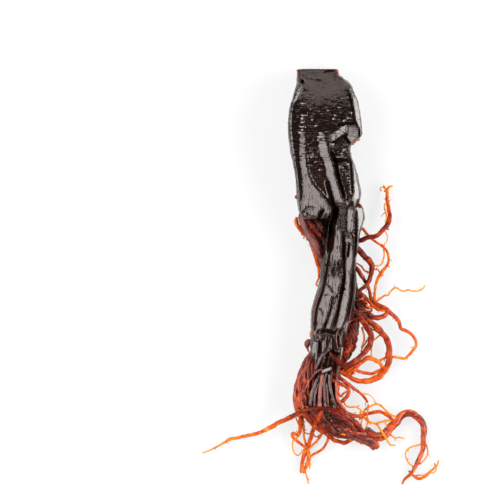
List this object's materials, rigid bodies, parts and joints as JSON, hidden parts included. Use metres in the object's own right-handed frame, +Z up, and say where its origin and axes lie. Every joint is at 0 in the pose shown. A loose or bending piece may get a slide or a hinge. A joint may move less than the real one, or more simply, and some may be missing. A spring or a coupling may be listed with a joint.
{
  "type": "ginseng root",
  "caption": "Steamed and dried ginseng root lying flat: broad ridged crown with a cut end, folded trunk, and side roots that fray into curling rootlets",
  "frame": {"origin": "On the surface the root lies on, under the middle of its bounding box", "axes": "+Y runs along the root towards the cut crown, +X towards the side with most rootlets, +Z up from the surface"},
  "size_m": [0.0955, 0.1664, 0.0217],
  "materials": {
    "root_skin": "hard, wrinkled, glossy brown-black skin, turning red and then orange on the thin rootlets"
  },
  "bodies": {
    "root": {"ginseng_root": "root_skin"}
  },
  "joints": []
}
